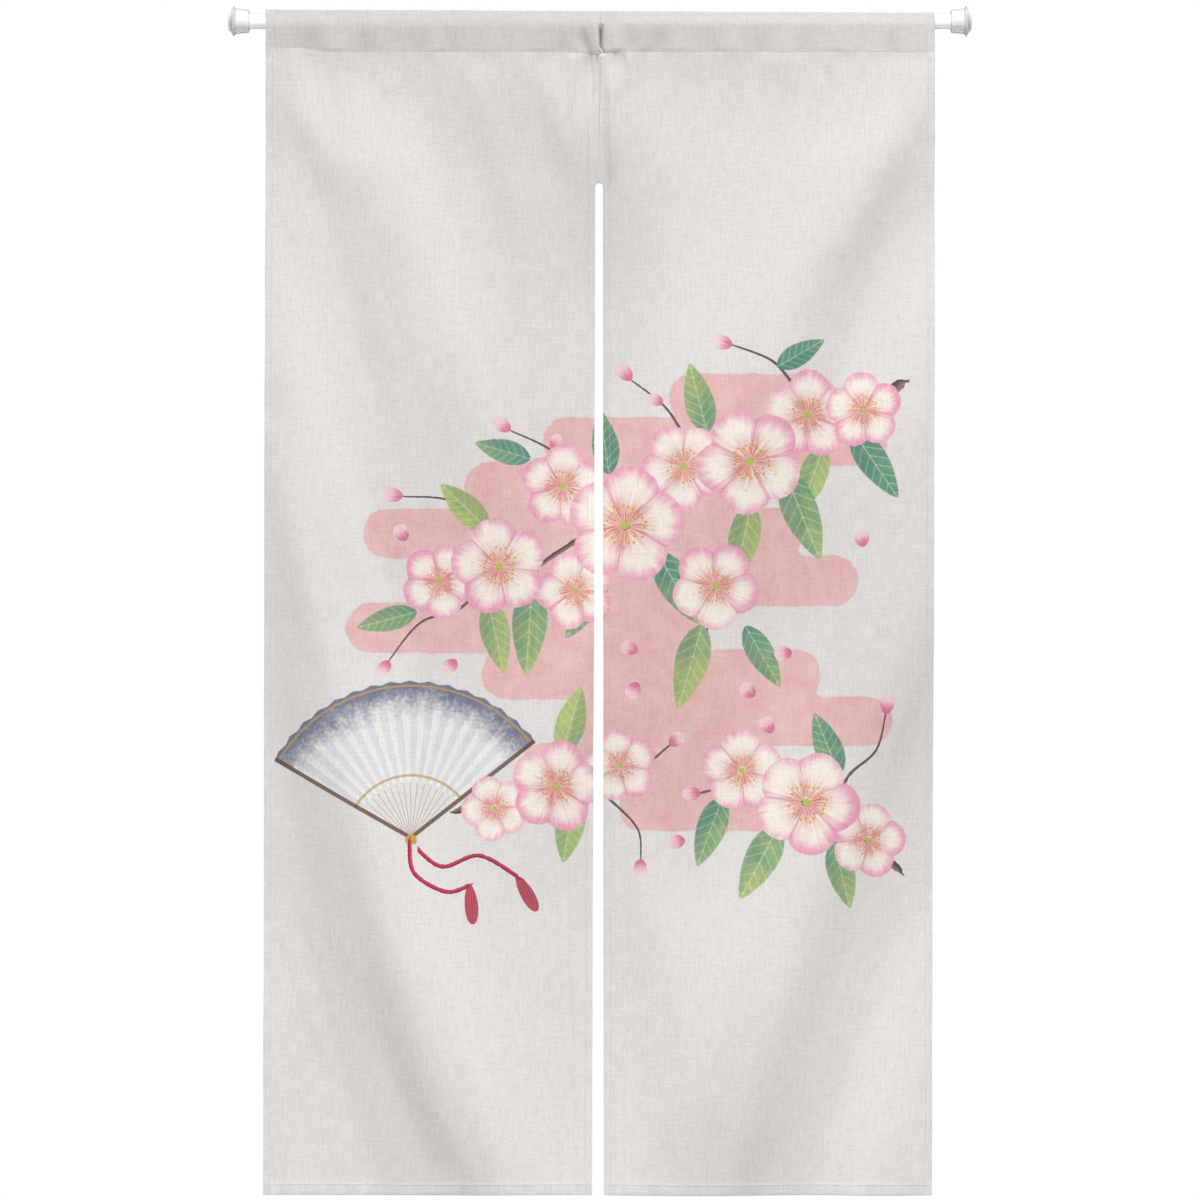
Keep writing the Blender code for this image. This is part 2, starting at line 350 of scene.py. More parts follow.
# Round-ended bands of mist, which run into each other
Band = namedtuple("Band", "z left right half")
BANDS = metres(
    Band,
    (-478, 560, 770, 29), (-534, 400, 836, 30), (-592, 300, 660, 31), (-651, 172, 728, 31),
    (-711, 268, 800, 31.5), (-771, 150, 600, 31), (-830, 322, 752, 31), (-889, 440, 842, 30.5),
    (-946, 372, 640, 29), (-1001, 496, 700, 27),
)
BAND_FILLET = 0.014

# The bough, its twigs and the fan's cord, each along a smooth curve through its points. Each row
# is (layer, half width at its foot, half width at its tip, points), in millimetres.
Stem = namedtuple("Stem", "layer half tip points")
STEM_ROWS = (
    ("bough", 6.8, 1.6, (
        (852, -462), (812, -489), (762, -499), (722, -532), (680, -566), (634, -578), (597, -594),
        (560, -632), (512, -646), (462, -650), (420, -674), (376, -700), (322, -700), (272, -716),
    )),
    ("twig", 2.8, 1, ((770, -500), (722, -466), (690, -432), (640, -412))),
    ("twig", 2.6, 0.9, ((632, -579), (588, -540), (556, -492), (512, -456))),
    ("twig", 2.8, 0.9, ((500, -648), (452, -596), (414, -548), (358, -520))),
    ("twig", 2.4, 0.9, ((386, -694), (330, -650), (284, -610), (222, -604))),
    ("twig", 2.8, 0.9, ((660, -573), (652, -640), (622, -700), (606, -786))),
    ("twig", 2.2, 0.9, ((340, -700), (294, -746), (244, -764), (204, -812))),
    ("bough", 4.6, 1.4, ((852, -1078), (796, -1030), (735, -996), (676, -966), (600, -980))),
    ("twig", 2.4, 0.9, ((766, -1012), (786, -960), (822, -926), (834, -880))),
    ("bough", 4.2, 1.2, (
        (290, -1004), (342, -984), (398, -986), (452, -962), (516, -952), (560, -920),
    )),
    ("twig", 2.2, 0.9, ((452, -962), (486, -990), (520, -1026), (524, -1064))),
    ("cord", 2.6, 2.6, ((232, -1043), (270, -1074), (318, -1060), (366, -1086))),
    ("cord", 2.6, 2.6, ((230, -1043), (236, -1082), (276, -1106), (306, -1098))),
)
STEMS = [
    Stem(layer, half / 1000, tip / 1000, [(x / 1000, z / 1000) for x, z in points])
    for layer, half, tip, points in STEM_ROWS
]
CURVE_STEPS = 9

# Flowers, leaves, buds and petals. Each turns anticlockwise from upright, and its number is the
# draw of its own unevenness. A flower is placed by its middle, and the others by their foot. Each
# row is (number, x, z, turn, half, length), with sizes in millimetres.
Motif = namedtuple("Motif", "layer number x z turn half length")
MOTIF_ROWS = {
    "high": (
        (1, 662, -560, 10, 70, 70), (2, 504, -640, 44, 77, 77), (3, 344, -692, -8, 64, 64),
        (4, 734, -992, 28, 69, 69), (5, 806, -494, 60, 50, 50), (6, 416, -972, -30, 60, 60),
    ),
    "low": (
        (6, 736, -500, -20, 58, 58), (7, 578, -566, 15, 58, 58), (8, 424, -590, 50, 54, 54),
        (9, 440, -724, 0, 52, 52), (10, 268, -712, 30, 50, 50), (11, 652, -952, -15, 54, 54),
        (12, 812, -1040, 40, 50, 50), (13, 618, -718, 22, 58, 58), (14, 498, -946, 65, 48, 48),
        (15, 338, -1000, 5, 44, 44),
    ),
    "leaf": (
        (1, 706, -572, -158, 26, 122), (2, 608, -524, 14, 21, 92), (4, 386, -716, 176, 25, 116),
        (5, 330, -646, 46, 20, 84), (6, 792, -520, -146, 22, 104), (7, 696, -440, -60, 16, 70),
        (8, 700, -1020, 152, 24, 108), (9, 776, -958, 22, 20, 86), (10, 602, -766, 164, 24, 112),
        (11, 240, -750, 105, 17, 80), (12, 484, -576, 8, 19, 84), (16, 440, -985, 170, 21, 86),
        (17, 424, -930, -16, 21, 88), (21, 640, -412, 75, 11, 26), (22, 512, -456, 40, 11, 27),
        (23, 358, -520, 55, 10.5, 25), (24, 222, -604, 80, 10.5, 26), (25, 204, -812, 150, 10, 24),
        (26, 834, -880, -10, 10.5, 26), (27, 600, -980, 95, 10, 24), (28, 524, -1064, 176, 10, 24),
        (29, 560, -920, -50, 10, 24), (31, 290, -812, 130, 11, 23), (32, 520, -800, 70, 11, 23),
        (33, 690, -904, 30, 11, 23), (34, 520, -840, 150, 11, 23), (35, 716, -802, 95, 11, 23),
        (36, 668, -858, 45, 11, 23), (37, 806, -668, 10, 11, 23), (38, 580, -1040, 100, 11, 23),
        (39, 226, -660, 30, 11, 23), (41, 366, -1086, -150, 10, 52), (42, 306, -1096, -175, 10, 52),
    ),
    "frond": (
        (3, 544, -674, -150, 24, 106), (13, 664, -612, 168, 22, 104), (14, 478, -700, 150, 21, 98),
        (16, 330, -736, -168, 21, 94), (17, 756, -540, 160, 20, 92), (18, 768, -1040, -166, 20, 90),
        (19, 628, -984, 160, 21, 96), (12, 384, -556, 74, 17, 74), (11, 656, -768, -150, 19, 90),
        (28, 552, -486, 62, 9, 21), (29, 412, -544, -20, 9, 21), (30, 284, -608, -25, 9, 21),
    ),
    "fan": ((1, 232, -1040, 4, 205, 205),),
}
MOTIFS = [
    Motif(layer, number, x / 1000, z / 1000, turn, half / 1000, length / 1000)
    for layer, rows in MOTIF_ROWS.items()
    for number, x, z, turn, half, length in rows
]
FLOWERS = ("high", "low")
LAYERS = ("bough", "twig", "cord", "high", "low", "leaf", "frond", "fan")


def mist_depth(x, z):
    """How far inside the mist a place is, or outside it where it is below 0."""
    depth = -1.0
    for band in BANDS:
        beyond = max(band.left + band.half - x, x - band.right + band.half, 0.0)
        inside = band.half - math.hypot(beyond, z - band.z)
        share = max(0.0, BAND_FILLET - abs(inside - depth)) / BAND_FILLET
        depth = max(inside, depth) + share * share * BAND_FILLET / 4
    return depth


def stem_line(points):
    """(x, z, length so far) along a smooth curve through the points."""
    ends = [points[0], *points, points[-1]]
    line = []
    for before, start, end, after in zip(ends, ends[1:], ends[2:], ends[3:]):
        for step in range(CURVE_STEPS):
            t = step / CURVE_STEPS
            place = [
                s + t * (e - b + t * (2 * b - 5 * s + 4 * e - a + t * (3 * (s - e) + a - b))) / 2
                for b, s, e, a in zip(before, start, end, after)
            ]
            line.append(place)
    line.append(points[-1])
    lengths = [0.0]
    for here, there in zip(line, line[1:]):
        lengths.append(lengths[-1] + math.dist(here, there))
    return [(x, z, length) for (x, z), length in zip(line, lengths)]


def stem_place(line, x, z):
    """(distance to the curve's side, distance along it) of the nearest place on the curve."""
    best = (1.0, 0.0, 0.0)
    for (x0, z0, l0), (x1, z1, l1) in zip(line, line[1:]):
        run, rise, long = x1 - x0, z1 - z0, l1 - l0
        share = min(1.0, max(0.0, ((x - x0) * run + (z - z0) * rise) / long**2))
        apart = math.hypot(x - x0 - run * share, z - z0 - rise * share)
        if apart < best[0]:
            side = math.copysign(apart, run * (z - z0) - rise * (x - x0))
            best = (apart, side, l0 + long * share)
    return best[1:]


def motif_place(motif, x, z):
    """(across, along) on a motif, in its own half width and length."""
    turn = math.radians(motif.turn)
    right, up = x - motif.x, z - motif.z
    across = right * math.cos(turn) + up * math.sin(turn)
    along = up * math.cos(turn) - right * math.sin(turn)
    return across / motif.half, along / motif.length


def outside_motif(motif, x, z):
    """How far a place is outside the motif's frame, in metres."""
    across, along = motif_place(motif, x, z)
    if motif.layer in FLOWERS:
        return (math.hypot(across, along) - 1.0) * motif.half
    beyond = max(-along, along - 1.0, 0.0) * motif.length
    return max((abs(across) - 1.0) * motif.half, beyond)


def lay_print(bm):
    """Writes on each face's corners where they lie on the motifs that reach it."""
    flat = bm.verts.layers.float_vector["flat"]
    mist = bm.verts.layers.float.new("mist")
    layers = {name: bm.loops.layers.float_vector.new(name) for name in LAYERS}
    lines = [(stem, stem_line(stem.points)) for stem in STEMS]
    for vert in bm.verts:
        vert[mist] = mist_depth(*vert[flat][:2])
    for face in bm.faces:
        places = [loop.vert[flat][:2] for loop in face.loops]
        x = sum(place[0] for place in places) / len(places)
        z = sum(place[1] for place in places) / len(places)
        if not (PRINT_LEFT < x < PRINT_RIGHT and PRINT_LOW < z < PRINT_TOP):
            continue
        for stem, line in lines:
            if all(max(abs(x - px), abs(z - pz)) > STEM_REACH for px, pz, _ in line):
                continue
            side, _ = stem_place(line, x, z)
            if abs(side) < stem.half + REACH:
                for loop, place in zip(face.loops, places):
                    side, along = stem_place(line, *place)
                    half = stem.half + (stem.tip - stem.half) * along / line[-1][2]
                    loop[layers[stem.layer]] = (side, along, half)
        for motif in MOTIFS:
            if outside_motif(motif, x, z) < REACH:
                for loop, place in zip(face.loops, places):
                    loop[layers[motif.layer]] = (*motif_place(motif, *place), motif.number)


def painted_stem(shade, layer, low, high, edge, under):
    """A stem in its own washes, darker along its lower edge, with a dry brush's streaks."""
    mark = shade.mark(layer)
    side, _, half = mark.parts()
    streaks = mark.scaled(1100.0, 90.0).grain(1.0, 2.0, 0.6)
    knots = mark.scaled(0.0, 150.0).grain(1.0, 2.0)
    inside = half * (knots * 0.7 + 0.66) - abs(side) + (streaks - 0.5) * 0.0007
    there = inside.soft(-0.00025, 0.00025) * half.soft(0.0, 0.0006)
    lit = (side / half).soft(0.9, -0.6) * 0.7 + streaks * 0.5
    colour = there.paints(lit, high, low, under)
    dark = inside.soft(0.0011, 0.0002) * there * 0.6
    return dark.blend(colour, edge)


PETALS = 5.0
STAMENS = 25.0


def painted_flower(shade, layer, wash, under):
    """A five-petalled plum flower: a cream petal with a pink rim, a red heart and gold stamens."""
    mark = shade.mark(layer)
    across, along, number = mark.parts()
    out = across.hypot(along)
    turn = along.math("ARCTAN2", across) * (PETALS / math.tau) + PETALS
    petal = turn.math("FLOOR")
    lot = (petal.math("FLOORED_MODULO", PETALS) + number * 7.3).chance()
    angle = (turn - petal - 0.5) * (math.tau / PETALS)
    ahead = out * angle.math("COSINE")
    side = out * angle.math("SINE")
    wobble = mark.grain(0.35, 2.0)
    reach = (ahead - 0.52) / (lot * 0.06 + 0.42)
    spread = side / 0.47
    shape = reach.hypot(spread) + (wobble - 0.5) * 0.16
    there = shape.soft(1.02, 0.97) * number.soft(0.0, 0.5)
    # Fine streaks run out along each petal
    streaks = mark.node("ShaderNodeCombineXYZ", {}, {0: angle * 9.0, 1: out * 1.6, 2: lot * 40.0})
    streaks = streaks.grain(1.0, 3.0, 0.6)
    rosy = shape.soft(0.25, 1.05) * 0.75 + (streaks - 0.5) * 0.9
    rosy = rosy + (lot - 0.5) * 0.35 + (wash - 0.5) * 0.5
    colour = there.paints(rosy.soft(0.05, 0.95), tint("fbf3e6"), tint("eda3bd"), under)
    heart = ahead.soft(0.62, 0.10) * streaks.soft(0.25, 0.65) * there
    colour = (heart * 0.8).over(colour, "c9365c")
    edge = (abs(angle) - math.pi / PETALS) * out
    outline = edge.line(0.004, 0.008) * out.soft(0.2, 0.6) + shape.line(0.012, 0.03)
    colour = (outline.math("MINIMUM", 1.0) * there * 0.62).over(colour, "c25a83")
    # Stamens round a green eye
    fine = turn * (STAMENS / PETALS)
    thread = fine.math("FLOOR")
    draw = (thread.math("FLOORED_MODULO", STAMENS) + number * 31.7).chance()
    sway = (fine - thread - 0.5) * (math.tau / STAMENS) * out
    length = draw * 0.14 + 0.24
    stalk = sway.line(0.006, 0.006) * out.soft(0.07, 0.10) * (length - out).soft(-0.01, 0.01)
    colour = (stalk * there * 0.8).over(colour, "f7e0a0")
    knob = sway.hypot(out - length).soft(0.028, 0.018)
    colour = (knob * there).over(colour, "e2a73c")
    eye = out.soft(0.085, 0.06) * number.soft(0.0, 0.5)
    return eye.over(colour, "b9c463")


# Numbers up to 19 are leaves, those from 21 are buds and petals, and those from 41 tassels
FIRST_BUD = 20.5
FIRST_TASSEL = 40.5


def painted_leaf(shade, layer, wash, under):
    """A leaf, or by its number a bud, a loose petal or a tassel."""
    mark = shade.mark(layer)
    across, along, number = mark.parts()
    lot = (number * 3.7).chance()
    streaks = mark.scaled(7.0, 1.3).grain(1.0, 2.0, 0.6)
    is_leaf = number.soft(FIRST_BUD, FIRST_BUD - 1)
    is_tassel = number.soft(FIRST_TASSEL - 1, FIRST_TASSEL)
    # A leaf is widest below its middle and drawn out to a tip; a petal is round
    below = along * (1.0 - along) * 4.0
    bulge = below.math("MAXIMUM", 0.0)
    tapered = bulge.math("POWER", 0.72) * (1.28 - along * 0.62)
    rounded = bulge.math("POWER", 0.5) * (along * 0.30 + 0.80)
    width = is_leaf * tapered + (1.0 - is_leaf) * rounded
    inside = width * 0.92 - abs(across) + (streaks - 0.5) * 0.14
    there = inside.soft(-0.02, 0.06) * number.soft(0.0, 0.5) * below.soft(0.0, 0.05)
    vein = (abs(across) * 0.20 - along).wave(0.135).soft(0.72, 0.98) * 0.45
    midrib = across.line(0.02, 0.05)
    green = (wash - 0.5) * 1.1 + lot * 0.8 + along * 0.35 + (streaks - 0.5) * 0.5
    leaf = green.soft(0.1, 1.3).blend(tint("3f8f7e"), tint("bccb74"))
    leaf = ((vein + midrib).math("MINIMUM", 1.0) * 0.7).blend(leaf, tint("e3e6b4"))
    leaf = (across.soft(-0.2, 0.4) * 0.25).blend(leaf, tint("2f6f6b"))
    rosy = along.soft(0.9, 0.1) * 0.8 + (streaks - 0.5) * 0.8
    petal = rosy.soft(0.0, 1.0).blend(tint("f7d5da"), tint("d9608c"))
    tassel = (streaks * 0.6 + across.wave(0.34) * 0.3 + 0.2).blend(tint("8f2138"), tint("cf4a5c"))
    colour = is_leaf.blend(is_tassel.blend(petal, tassel), leaf)
    edge = inside.soft(0.12, 0.0) * 0.35
    return (there * (0.93 - edge * 0.4)).blend(under, colour)


FAN_HALF = math.radians(56)
FAN_PLEATS = 16


def painted_fan(shade, wash, grains, under):
    """A folding fan: pleats of white paper with a slate wash at their ends, on bamboo sticks."""
    mark = shade.mark("fan")
    across, along, number = mark.parts()
    out = across.hypot(along)
    turn = across.math("ARCTAN2", along)
    pleat = turn * (FAN_PLEATS / (2 * FAN_HALF)) + FAN_PLEATS / 2
    share = pleat - pleat.math("FLOOR")
    spread = (abs(turn) - FAN_HALF) * out
    zigzag = abs(share - 0.5) * 0.030
    there = spread.soft(0.004, -0.004) * number.soft(0.0, 0.5)
    paper = there * (out + zigzag).soft(0.992, 0.984) * (out - zigzag).soft(0.352, 0.360)
    sticks = there * out.soft(0.36, 0.352) * (abs(share - 0.5) * out).line(0.012, 0.006)
    colour = (sticks * (grains * 0.3 + 0.7)).over(under, "9a7a5c")
    lit = share.soft(0.42, 0.58) * 0.5 + (wash - 0.5) * 0.5 + 0.3
    colour = paper.paints(lit, tint("fbf7ee"), tint("d9dbe2"), colour)
    # A wash of slate at the rim, dry-brushed inwards, and thin gold lines
    rim = (out + (grains - 0.5) * 0.22 + (wash - 0.5) * 0.2).soft(0.74, 0.97) * paper
    colour = (rim * 0.85).over(colour, "525a80")
    gold = (out - 0.40).line(0.008, 0.004) + (out - 0.955).line(0.006, 0.004)
    colour = (gold * paper * 0.8).over(colour, "c9a255")
    fold = (abs(share - 0.5) - 0.5) * out
    colour = (fold.line(0.003, 0.006) * paper * 0.55).over(colour, "6d7396")
    guard = (spread + 0.012).line(0.013, 0.003) * out.soft(0.985, 0.975) * number.soft(0.0, 0.5)
    colour = (guard * 0.9).over(colour, "6f4f3c")
    rivet = out.soft(0.040, 0.032) * number.soft(0.0, 0.5)
    return rivet.over(colour, "c9a255")


def printed(shade, cut, under):
    """The whole design over the bare cloth's colour, one wash over the other."""
    wash = cut.grain(0.034, 4.0, 0.62)
    grains = cut.grain(0.0052, 3.0, 0.65)
    mist = shade.mark("mist", "Fac")
    inside = mist + (wash - 0.5) * 0.010 + (grains - 0.5) * 0.0022
    there = inside.soft(-0.0006, 0.0010)
    pink = there * (wash * 0.4 + grains * 0.2 + 0.55).math("MINIMUM", 1.0)
    colour = pink.paints(wash.soft(0.3, 0.7), tint("ecbeb8"), tint("e8b3b4"), under)
    colour = (inside.line(0.0009, 0.0014) * 0.30).over(colour, "dd9aa4")
    colour = painted_fan(shade, wash, grains, colour)
    silk = (tint("a52c44"), tint("d95f70"), tint("7c1d31"))
    bark = (tint("5b4a4b"), tint("a98f7c"), tint("3f3a4a"))
    for layer, colours in (("cord", silk), ("twig", bark), ("bough", bark)):
        colour = painted_stem(shade, layer, *colours, colour)
    for layer in ("frond", "leaf"):
        colour = painted_leaf(shade, layer, wash, colour)
    for layer in ("low", "high"):
        colour = painted_flower(shade, layer, wash, colour)
    return colour


# ---------------------------------------------------------------------------------------- Cloth
# Two lengths of off-white linen-look cloth, hemmed all round. Each is turned over the rod to the
# back and stitched down, and hangs in soft slanting folds. They are sewn together above the slit.
CLOTH_LEFT = 0.0476
CLOTH_RIGHT = 0.8974
HEM_Z = -1.4915
LEAN = -0.0040
CLOTH_THICK = 0.0010
HEM_THICK = 0.0015
SIDE_HEM = 0.0100
STITCH_INSET = 0.0016
BOTTOM_HEM = 0.0150
BOTTOM_INSET = 0.0018

CREST_LEFT = 0.0143
CREST_RIGHT = 0.0105
FRONT_OUT = 0.0108
BACK_OUT = 0.0096
BEND_Z = -0.0034
BEND_HALF = 0.0056
STITCH_Z = -0.0385
STITCH_FORWARD = 0.0060
STITCH_EASE = 0.0027
LEAN_BACK = 0.070
STITCH_RECESS = 0.0022
RECESS_X = 0.4650
RECESS_WIDTH = 0.0090
RECESS_FADE = 0.1000
EASE_FADE = 0.3000
CREASE_FADE = 0.1200
STITCH_SAG = 0.0034
SAG_WIDTH = 0.0150
SAG_FADE = 0.0600
STITCH_LIFT = 0.0056
LIFT_END = 0.1300

SEAM_TOP_X = 0.4731
SLIT_TOP_X = 0.4709
SLIT_LOW_X = 0.4693
SLIT_TOP_Z = -0.2055
SLIT_HALF_TOP = 0.0050
SLIT_HALF_LOW = 0.0077
SEAM_GAP = 0.00025
SEAM_OPENS = -0.0700

# Soft folds below the pocket. A crest runs from its top to its low point, bowed sideways. It
# slopes away to the left and the right over its two widths, and fades out past its ends.
Fold = namedtuple("Fold", "top_x top_z low_x low_z bow left_width right_width rise fade")
FOLDS = metres(
    Fold,
    (150, -68, 327, -592, 7, 43, 39, 12, 440),
    (350, -129, 447, -573, 50, 90, 88, -6, 640),
    (87, -400, 311, -1438, -50, 42, 52, 24, 520),
    (100, -523, 252, -1529, -50, 30, 90, 9, 440),
    (797, -183, 602, -1076, -50, 72, 55, 24, 540),
    (950, -289, 802, -746, -41, 62, 90, 24, 550),
    (937, -531, 524, -1760, -7, 90, 57, 24, 800),
    (856, -1300, 814, -1698, -17, 30, 49, 18.5, 440),
    (570, -1194, 581, -1356, 4, 41, 90, 23.8, 470),
    (190, -332, 249, -833, 16, 30, 49, 13, 490),
    (569, -333, 486, -790, 15, 32, 84, 22.7, 700),
)
FOLD_START = 0.16
# Slight folds that only this cloth shows, most of them just under the pocket
SLIGHT_FOLDS = metres(
    Fold,
    (66, -70, 128, -195, 0, 18, 26, 3.4, 120),
    (306, -70, 366, -250, 0, 17, 22, 2, 120),
    (402, -75, 446, -190, 0, 15, 20, 2.2, 100),
    (878, -80, 770, -310, 0, 36, 23, 5, 180),
    (470, -250, 470, -640, 0, 30, 34, -7, 240),
    (148, -1136, 307, -1462, -11, 14, 30, 1.1, 140),
    (84, -1210, 116, -1290, 0, 8, 8, 0.8, 50),
    (757, -55, 772, -100, 0, 6, 6, -1, 30),
)
SLIGHT_START = 0.03
HANG_BACK = 0.0110
HANG_START = 0.75
# The cloth leans in a little just below its stitches, more so on the left
SETTLE = 0.0036
SETTLE_LENGTH = 0.055

# Creases of the pocket, which draw its front layer and the stitches in. Each leans sideways on its
# way down from the bend, and has its full depth at that share (in thousandths) of the way.
Crease = namedtuple("Crease", "x lean left_width right_width depth full", defaults=(1.2,))
CREASES = metres(
    Crease,
    (50, 0, 4, 4, -1), (73.1, 1, 5.5, 6, -1.2), (108.6, 3, 12, 11, 1.7), (144.2, -2, 7, 7, -1.1),
    (174.7, 2, 9, 8, 2.2), (210, 0, 16, 14, -0.6), (250, -4, 9, 8, 1.4), (263, 1, 4, 4, -0.6),
    (283, 2, 6, 6, 1.6), (337.3, 4, 10, 8, -1.3), (352, 1, 6, 5, 0.6), (367.8, 2, 6, 6, -1),
    (386, 2, 6, 6, 0.6), (419, 3, 7.5, 6.5, 1.6), (451, 8.5, 7.2, 2.6, 5, 850),
    (510, 3, 3, 5, 1.2, 900), (545.7, -2, 8, 7, 2), (578, 1, 12, 14, -1), (611.8, 3, 6, 6, 1),
    (645, -2, 12, 10, -1.4), (672.8, 2, 7, 7, 1.6), (705, 0, 9, 8, -1.4), (733.8, -3, 7, 8, 1.6),
    (845.6, -3, 5, 5, 2.4), (866, 1, 6, 6, -0.8),
)

# The crevice where the two hemmed edges meet, which swings to the right above the stitches
CLEFT_DEPTH = 0.0080
CLEFT_HALF_LOW = 0.0009
CLEFT_FLOOR = 0.0005
CLEFT_HALF = 0.0038
CLEFT_SWING = 0.0042

# Ridges of the front layer, which stand out more towards the stitches
Ridge = namedtuple("Ridge", "x lean left_width right_width rise")
RIDGES = metres(
    Ridge,
    (132, 4, 6, 8, 0.6), (272, -3, 5, 7, 0.5), (388, 5, 5, 6, 0.6), (454, 8, 1.6, 2.6, 1.2),
    (468.7, 0.6, 1.4, 0.9, 5.4), (479.5, 2, 1, 2, 1.2), (490, 2, 3.4, 4.4, 2.4),
    (525, 2, 5, 6, 0.7), (564, 0, 4, 6, 0.7), (632, -4, 6, 8, 0.5), (770, 4, 6, 6, 0.6),
)
# The stitches pull the cloth in along their line, and most of all by the seam
GROOVE = 0.0001
SEAM_GROOVE = 0.0006
GROOVE_WIDTH = 0.0016

# Upright pleats pressed into the cloth on both sides of the seam. They fade out downwards.
Pleat = namedtuple("Pleat", "x left_width right_width rise fade_from fade_to")
PLEATS = metres(
    Pleat,
    (454.9, 2, 2, -1.8, -120, -260),
    (458.8, 2.1, 2.1, 1, -80, -280),
    (462, 1.6, 1.6, -0.7, -80, -200),
    (472.6, 1.6, 1.6, 0.8, -120, -200),
    (484, 7.7, 19, 5.2, -150, -215),
    (502.5, 4.8, 5.6, -1.4, -80, -130),
)

# Soft random swells of the cloth: their height, size across and along it, and draw
Swell = namedtuple("Swell", "rise across along seed")
EDGE_WANDER = Swell(0.0004, 1.0, 0.09, 3.1)
SLIT_WANDER = Swell(0.0004, 1.0, 0.11, 7.7)
CREST_WANDER = Swell(0.0003, 0.03, 1.0, 9.5)
POCKET_SWELL = Swell(0.0005, 0.021, 1.4, 4.4)
GATHERS = Swell(0.0011, 0.013, 0.10, 1.3)
HEM_PUCKERS = Swell(0.0006, 1.0, 0.021, 5.9)
FOOT_PUCKERS = Swell(0.0007, 0.026, 1.0, 8.2)
# Faint streaks run down the cloth with this slant, towards the slit on either side
STREAKS = (Swell(0.0012, 0.034, 0.40, 0.4), Swell(0.0003, 0.013, 0.12, 2.2))
STREAK_SLANT = 0.28
CLOTH_WAVES = Swell(0.0008, 0.085, 0.15, 0.4)
GATHER_LENGTH = 0.034
PUCKER_WIDTH = 0.0055
FOOT_LENGTH = 0.0080
# The right panel's hem curls back along the slit
CURL = 0.0012
CURL_WIDTH = 0.0032

# Where the mesh's columns stand: zones between lines that run down the panel
OUTER_ZONE = 0.0120
STRIP_ZONE = 0.0300
OUTER_SHARES = (0.00, 0.06, 0.16, 0.34, 0.54, 0.63, 0.70, 0.77, 0.84, 0.90)
MIDDLE_STEPS = 62
STRIP_STEPS = 20
HEM_STEPS = 2
TURNING_SHARES = (0.00, 0.11, 0.24, 0.38, 0.50, 0.60, 0.69, 0.77, 0.84, 0.90, 0.95, 1.00)
HEM_ROWS = (0.0, 0.0008, 0.0024, 0.0056, 0.0092, 0.0116, 0.0126, 0.0134, 0.0143, 0.0153, 0.0168)
LOWER_ROWS = 268
SLIT_ROWS = 6
UPPER_ROWS = 38
SEAM_ROWS = (0.0100, 0.0070, 0.0048, 0.0032, 0.0020, 0.0010)
CREST_SHARES = (0.012, 0.032, 0.060, 0.095)
LAYER_STEPS = 36
OVER_STEPS = 4
LIP_STEPS = 3
LIP_LENGTH = 0.0034
ARCH_RISE = 0.0008
# A hem's own thickness ends over this width beside its stitches, and its edge is pressed thin
HEM_END = 0.0012
EDGE_SHARE = 0.35
EDGE_EASE = 0.0016


def smooth_step(value):
    """0 below 0 and 1 above 1, with a soft rise between."""
    t = min(1.0, max(0.0, value))
    return t * t * (3 - 2 * t)


def bell(distance, width):
    return math.exp(-0.5 * (distance / width) ** 2)


def sided_bell(aside, row):
    """A bell with a width of its own on each side."""
    return bell(aside, row.left_width if aside < 0 else row.right_width)


def uneven(x, z, swell):
    return swell.rise * noise.noise(Vector((x / swell.across, z / swell.along, swell.seed)))


def slit_line(z):
    """Middle of the slit, which goes on straight up to the heading."""
    down = max(0.0, (z - SLIT_TOP_Z) / (HEM_Z - SLIT_TOP_Z))
    return SLIT_TOP_X + (SLIT_LOW_X - SLIT_TOP_X) * down


def slit_half(z):
    down = max(0.0, (z - SLIT_TOP_Z) / (HEM_Z - SLIT_TOP_Z))
    return SLIT_HALF_TOP + (SLIT_HALF_LOW - SLIT_HALF_TOP) * down


def outer_edge(side, z):
    start = CLOTH_LEFT if side < 0 else CLOTH_RIGHT
    return start + LEAN * z / HEM_Z + uneven(side, z, EDGE_WANDER)


def inner_edge(side, z):
    """The edge by the seam, which turns round the slit's rounded top and runs down beside it."""
    if z >= SLIT_TOP_Z:
        middle = SEAM_TOP_X + (SLIT_TOP_X - SEAM_TOP_X) * smooth_step(z / SLIT_TOP_Z)
        opened = smooth_step((SEAM_OPENS - z) / (SEAM_OPENS - SLIT_TOP_Z))
        return middle + side * SEAM_GAP / 2 * opened
    rounding = min(1.0, (SLIT_TOP_Z - z) / SLIT_HALF_TOP)
    half = slit_half(z) * math.sqrt(1 - (1 - rounding) ** 2)
    straight = smooth_step((SLIT_TOP_Z - z) / 0.05)
    return slit_line(z) + side * max(half, SEAM_GAP / 2) + uneven(side, z, SLIT_WANDER) * straight


def folded(folds, x, z):
    """How far those folds stand forward of the flat cloth."""
    rise = 0.0
    for fold in folds:
        along = (fold.top_z - z) / (fold.top_z - fold.low_z)
        crest_x = fold.top_x + (fold.low_x - fold.top_x) * along
        crest_x += 4 * fold.bow * along * (1 - along)
        begins = smooth_step((fold.top_z - z) / fold.fade + 0.5)
        ends = smooth_step((z - fold.low_z) / fold.fade + 0.5)
        rise += fold.rise * begins * ends * sided_bell(x - crest_x, fold)
    return rise


